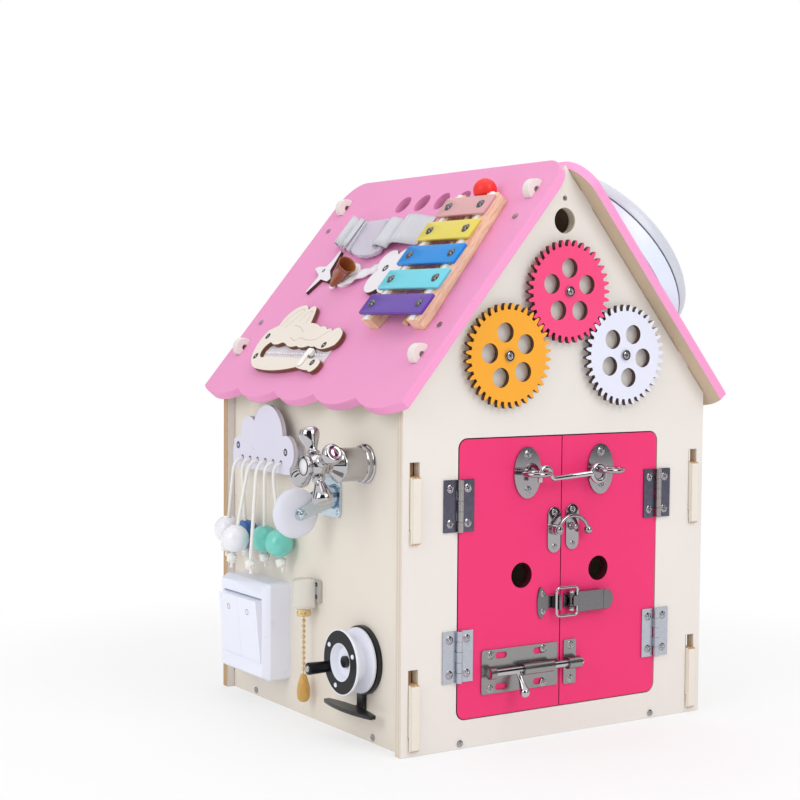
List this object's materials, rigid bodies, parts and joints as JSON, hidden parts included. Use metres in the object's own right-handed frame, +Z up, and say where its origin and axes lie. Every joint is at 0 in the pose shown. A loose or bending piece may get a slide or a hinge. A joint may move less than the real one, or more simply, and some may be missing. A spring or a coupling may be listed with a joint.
{
  "type": "activity house",
  "caption": "Wooden activity house with a pitched roof, hinged front doors with latches, meshing gears, a xylophone and wall toys",
  "frame": {"origin": "middle of the house's base, on the surface it stands on", "axes": "+Z up, -Y out of the front doors, -X out of the wall with the cloud and switch"},
  "size_m": [0.3662, 0.3325, 0.4668],
  "materials": {
    "ply_cream": "painted ply",
    "ply_pink": "painted ply",
    "door_rose": "painted ply",
    "gear_pink": "painted ply",
    "gear_orange": "painted ply",
    "ply_white": "painted ply",
    "bare_wood": "bare",
    "steel_dark": "satin",
    "steel": "satin",
    "chrome": "polished",
    "zinc": "zinc plated",
    "brass": "polished",
    "cord_white": "woven",
    "white_plastic": "gloss",
    "black_plastic": "matte",
    "clear_plastic": "clear",
    "amber_plastic": "translucent",
    "webbing": "woven",
    "bead_white": "painted",
    "bead_blue": "painted",
    "bead_turquoise": "painted",
    "ball_red": "painted",
    "bar_paint": "gloss"
  },
  "bodies": {
    "house": {"animal_plate": "ply_cream", "back_panel": "ply_cream", "bead_cords": "cord_white", "buckle": "clear_plastic", "caster_plate": "zinc", "cloud_plate": "ply_white", "dome_light": "white_plastic", "floor_panel": "ply_cream", "frame_hinges": "steel", "front_panel": "ply_cream", "gear_axles": "steel", "left_roof": "ply_pink", "left_wall": "ply_cream", "panel_screws": "steel", "pull_switch": "clear_plastic", "reel_frame": "black_plastic", "ribbon_cone": "amber_plastic", "right_roof": "ply_pink", "right_wall": "ply_cream", "roof_cutouts": "ply_white", "strap": "webbing", "switch_box": "white_plastic", "tap_body": "chrome", "xylophone_bars": "bar_paint", "xylophone_rails": "bare_wood", "zip_tapes": "cord_white"},
    "left_door": {"left_door": "door_rose", "left_door_leaves": "steel", "left_eye_plate": "steel_dark", "swing_latch_plate": "steel", "toggle_catch": "steel_dark", "bolt_plate": "steel"},
    "right_door": {"right_door": "door_rose", "right_door_leaves": "steel", "right_eye_plate": "steel_dark", "swing_latch_post": "steel", "toggle_base": "steel_dark", "bolt_keeper": "steel"},
    "swing_arm": {"swing_latch_arm": "steel_dark"},
    "bolt_rod": {"bolt_rod": "steel"},
    "cabin_hook": {"cabin_hook": "steel"},
    "toggle_lever": {"toggle_lever": "steel_dark"},
    "toggle_bail": {"toggle_bail": "steel_dark"},
    "gear_pink": {"gear_pink": "gear_pink"},
    "gear_orange": {"gear_orange": "gear_orange"},
    "gear_white": {"gear_white": "ply_white"},
    "bead_1": {"bead_1": "bead_white"},
    "bead_2": {"bead_2": "bead_white"},
    "bead_3": {"bead_3": "bead_blue"},
    "bead_4": {"bead_4": "bead_turquoise"},
    "bead_5": {"bead_5": "bead_turquoise"},
    "tap_handle": {"tap_handle": "chrome"},
    "caster_fork": {"caster_fork": "zinc"},
    "caster_wheel": {"caster_wheel": "white_plastic"},
    "rocker_rear": {"rocker_rear": "white_plastic"},
    "rocker_front": {"rocker_front": "white_plastic"},
    "pull_cord": {"pull_chain": "brass"},
    "reel_spool": {"reel_spool": "white_plastic"},
    "mallet": {"mallet": "ball_red"},
    "zip_slider": {"zip_slider": "cord_white"}
  },
  "joints": [
    {"name": "left_door_swing", "type": "hinge", "parent": "house", "child": "left_door", "pos_m": [-0.0991, -0.1488, 0], "axis": [0, 0, -1], "range_deg": [0, 104.9]},
    {"name": "right_door_swing", "type": "hinge", "parent": "house", "child": "right_door", "pos_m": [0.0991, -0.1488, 0], "axis": [0, 0, 1], "range_deg": [0, 104.9]},
    {"name": "swing_arm_turn", "type": "hinge", "parent": "left_door", "child": "swing_arm", "pos_m": [-0.0085, -0.153, 0.164], "axis": [0, -1, 0], "range_deg": [0, 100]},
    {"name": "bolt_slide", "type": "slide", "parent": "left_door", "child": "bolt_rod", "axis": [-1, 0, 0], "range_m": [0, 0.02]},
    {"name": "hook_lift", "type": "hinge", "parent": "right_door", "child": "cabin_hook", "pos_m": [0.02902, -0.1565, 0.21], "axis": [0, 1, 0], "range_deg": [0, 100]},
    {"name": "lever_turn", "type": "hinge", "parent": "right_door", "child": "toggle_lever", "pos_m": [0.008, -0.15, 0.1065], "axis": [0, 0, -1], "range_deg": [0, 120]},
    {"name": "bail_turn", "type": "hinge", "parent": "toggle_lever", "child": "toggle_bail", "pos_m": [0.013, -0.1516, 0.1065], "axis": [0, 0, -1], "range_deg": [-120, 0]},
    {"name": "gear_pink_spin", "type": "hinge", "parent": "house", "child": "gear_pink", "pos_m": [0, -0.151, 0.351], "axis": [0, -1, 0], "continuous": true},
    {"name": "gear_orange_spin", "type": "hinge", "parent": "house", "child": "gear_orange", "pos_m": [-0.058, -0.151, 0.301], "axis": [0, -1, 0], "continuous": true},
    {"name": "gear_white_spin", "type": "hinge", "parent": "house", "child": "gear_white", "pos_m": [0.058, -0.151, 0.301], "axis": [0, -1, 0], "continuous": true},
    {"name": "bead_1_slide", "type": "slide", "parent": "house", "child": "bead_1", "axis": [-0.0628, -0.3053, 0.9502], "range_m": [0, 0.015]},
    {"name": "bead_2_slide", "type": "slide", "parent": "house", "child": "bead_2", "axis": [0.1462, -0.0925, 0.9849], "range_m": [0, 0.009]},
    {"name": "bead_3_slide", "type": "slide", "parent": "house", "child": "bead_3", "axis": [-0.1367, -0.1473, 0.9796], "range_m": [0, 0.024]},
    {"name": "bead_4_slide", "type": "slide", "parent": "house", "child": "bead_4", "axis": [-0.1293, -0.2381, 0.9626], "range_m": [0, 0.012]},
    {"name": "bead_5_slide", "type": "slide", "parent": "house", "child": "bead_5", "axis": [-0.132, -0.0555, 0.9897], "range_m": [0, 0.024]},
    {"name": "tap_turn", "type": "hinge", "parent": "house", "child": "tap_handle", "pos_m": [-0.143, -0.083, 0.2165], "axis": [-1, 0, 0], "continuous": true},
    {"name": "caster_swivel", "type": "hinge", "parent": "house", "child": "caster_fork", "pos_m": [-0.15, -0.0314, 0.186], "axis": [-1, 0, 0], "range_deg": [-80, 80]},
    {"name": "caster_spin", "type": "hinge", "parent": "caster_fork", "child": "caster_wheel", "pos_m": [-0.176, -0.0314, 0.1745], "axis": [0, 1, 0], "continuous": true},
    {"name": "rocker_rear_tilt", "type": "hinge", "parent": "house", "child": "rocker_rear", "pos_m": [-0.163, 0.0915, 0.0675], "axis": [0, 1, 0], "range_deg": [0, 10.6]},
    {"name": "rocker_front_tilt", "type": "hinge", "parent": "house", "child": "rocker_front", "pos_m": [-0.163, 0.0575, 0.0675], "axis": [0, 1, 0], "range_deg": [0, 10.6]},
    {"name": "pull_cord_slide", "type": "slide", "parent": "house", "child": "pull_cord", "axis": [0, 0, -1], "range_m": [0, 0.006], "stiffness_N_per_m": 60},
    {"name": "reel_spin", "type": "hinge", "parent": "house", "child": "reel_spool", "pos_m": [-0.155, -0.0826, 0.0632], "axis": [-1, 0, 0], "continuous": true},
    {"name": "mallet_slide", "type": "slide", "parent": "house", "child": "mallet", "axis": [0.596, 0.0502, 0.8014], "range_m": [0, 0.13]},
    {"name": "zip_slide", "type": "slide", "parent": "house", "child": "zip_slider", "axis": [0, 1, 0], "range_m": [0, 0.07]}
  ],
  "couplings": [
    {"joint": "gear_orange_spin", "follows": "gear_pink_spin", "ratio": -1},
    {"joint": "gear_white_spin", "follows": "gear_pink_spin", "ratio": -1},
    {"joint": "bail_turn", "follows": "lever_turn", "ratio": -1}
  ]
}
